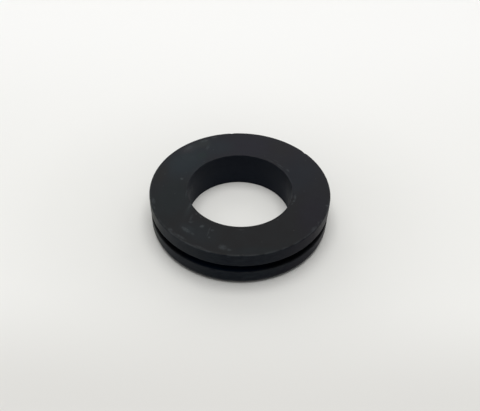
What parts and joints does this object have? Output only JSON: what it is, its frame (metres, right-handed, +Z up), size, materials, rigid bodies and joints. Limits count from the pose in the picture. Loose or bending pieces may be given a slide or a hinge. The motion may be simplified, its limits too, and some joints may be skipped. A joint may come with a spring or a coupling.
{
  "type": "rubber grommet",
  "caption": "Moulded rubber ring with a plain round bore, a flange at each end, and a narrow groove round the outside that grips the edge of a hole in a thin panel.",
  "frame": {"origin": "centre of the underside of the lower flange, on the bore's axis", "axes": "+Z up along the bore's axis, from the lower flange to the upper flange; X and Y are any two directions square to it"},
  "size_m": [0.038, 0.038, 0.0083],
  "materials": {
    "black_rubber": "matt moulded black rubber with a faint grey bloom"
  },
  "bodies": {
    "root": {"grommet": "black_rubber"}
  },
  "joints": []
}
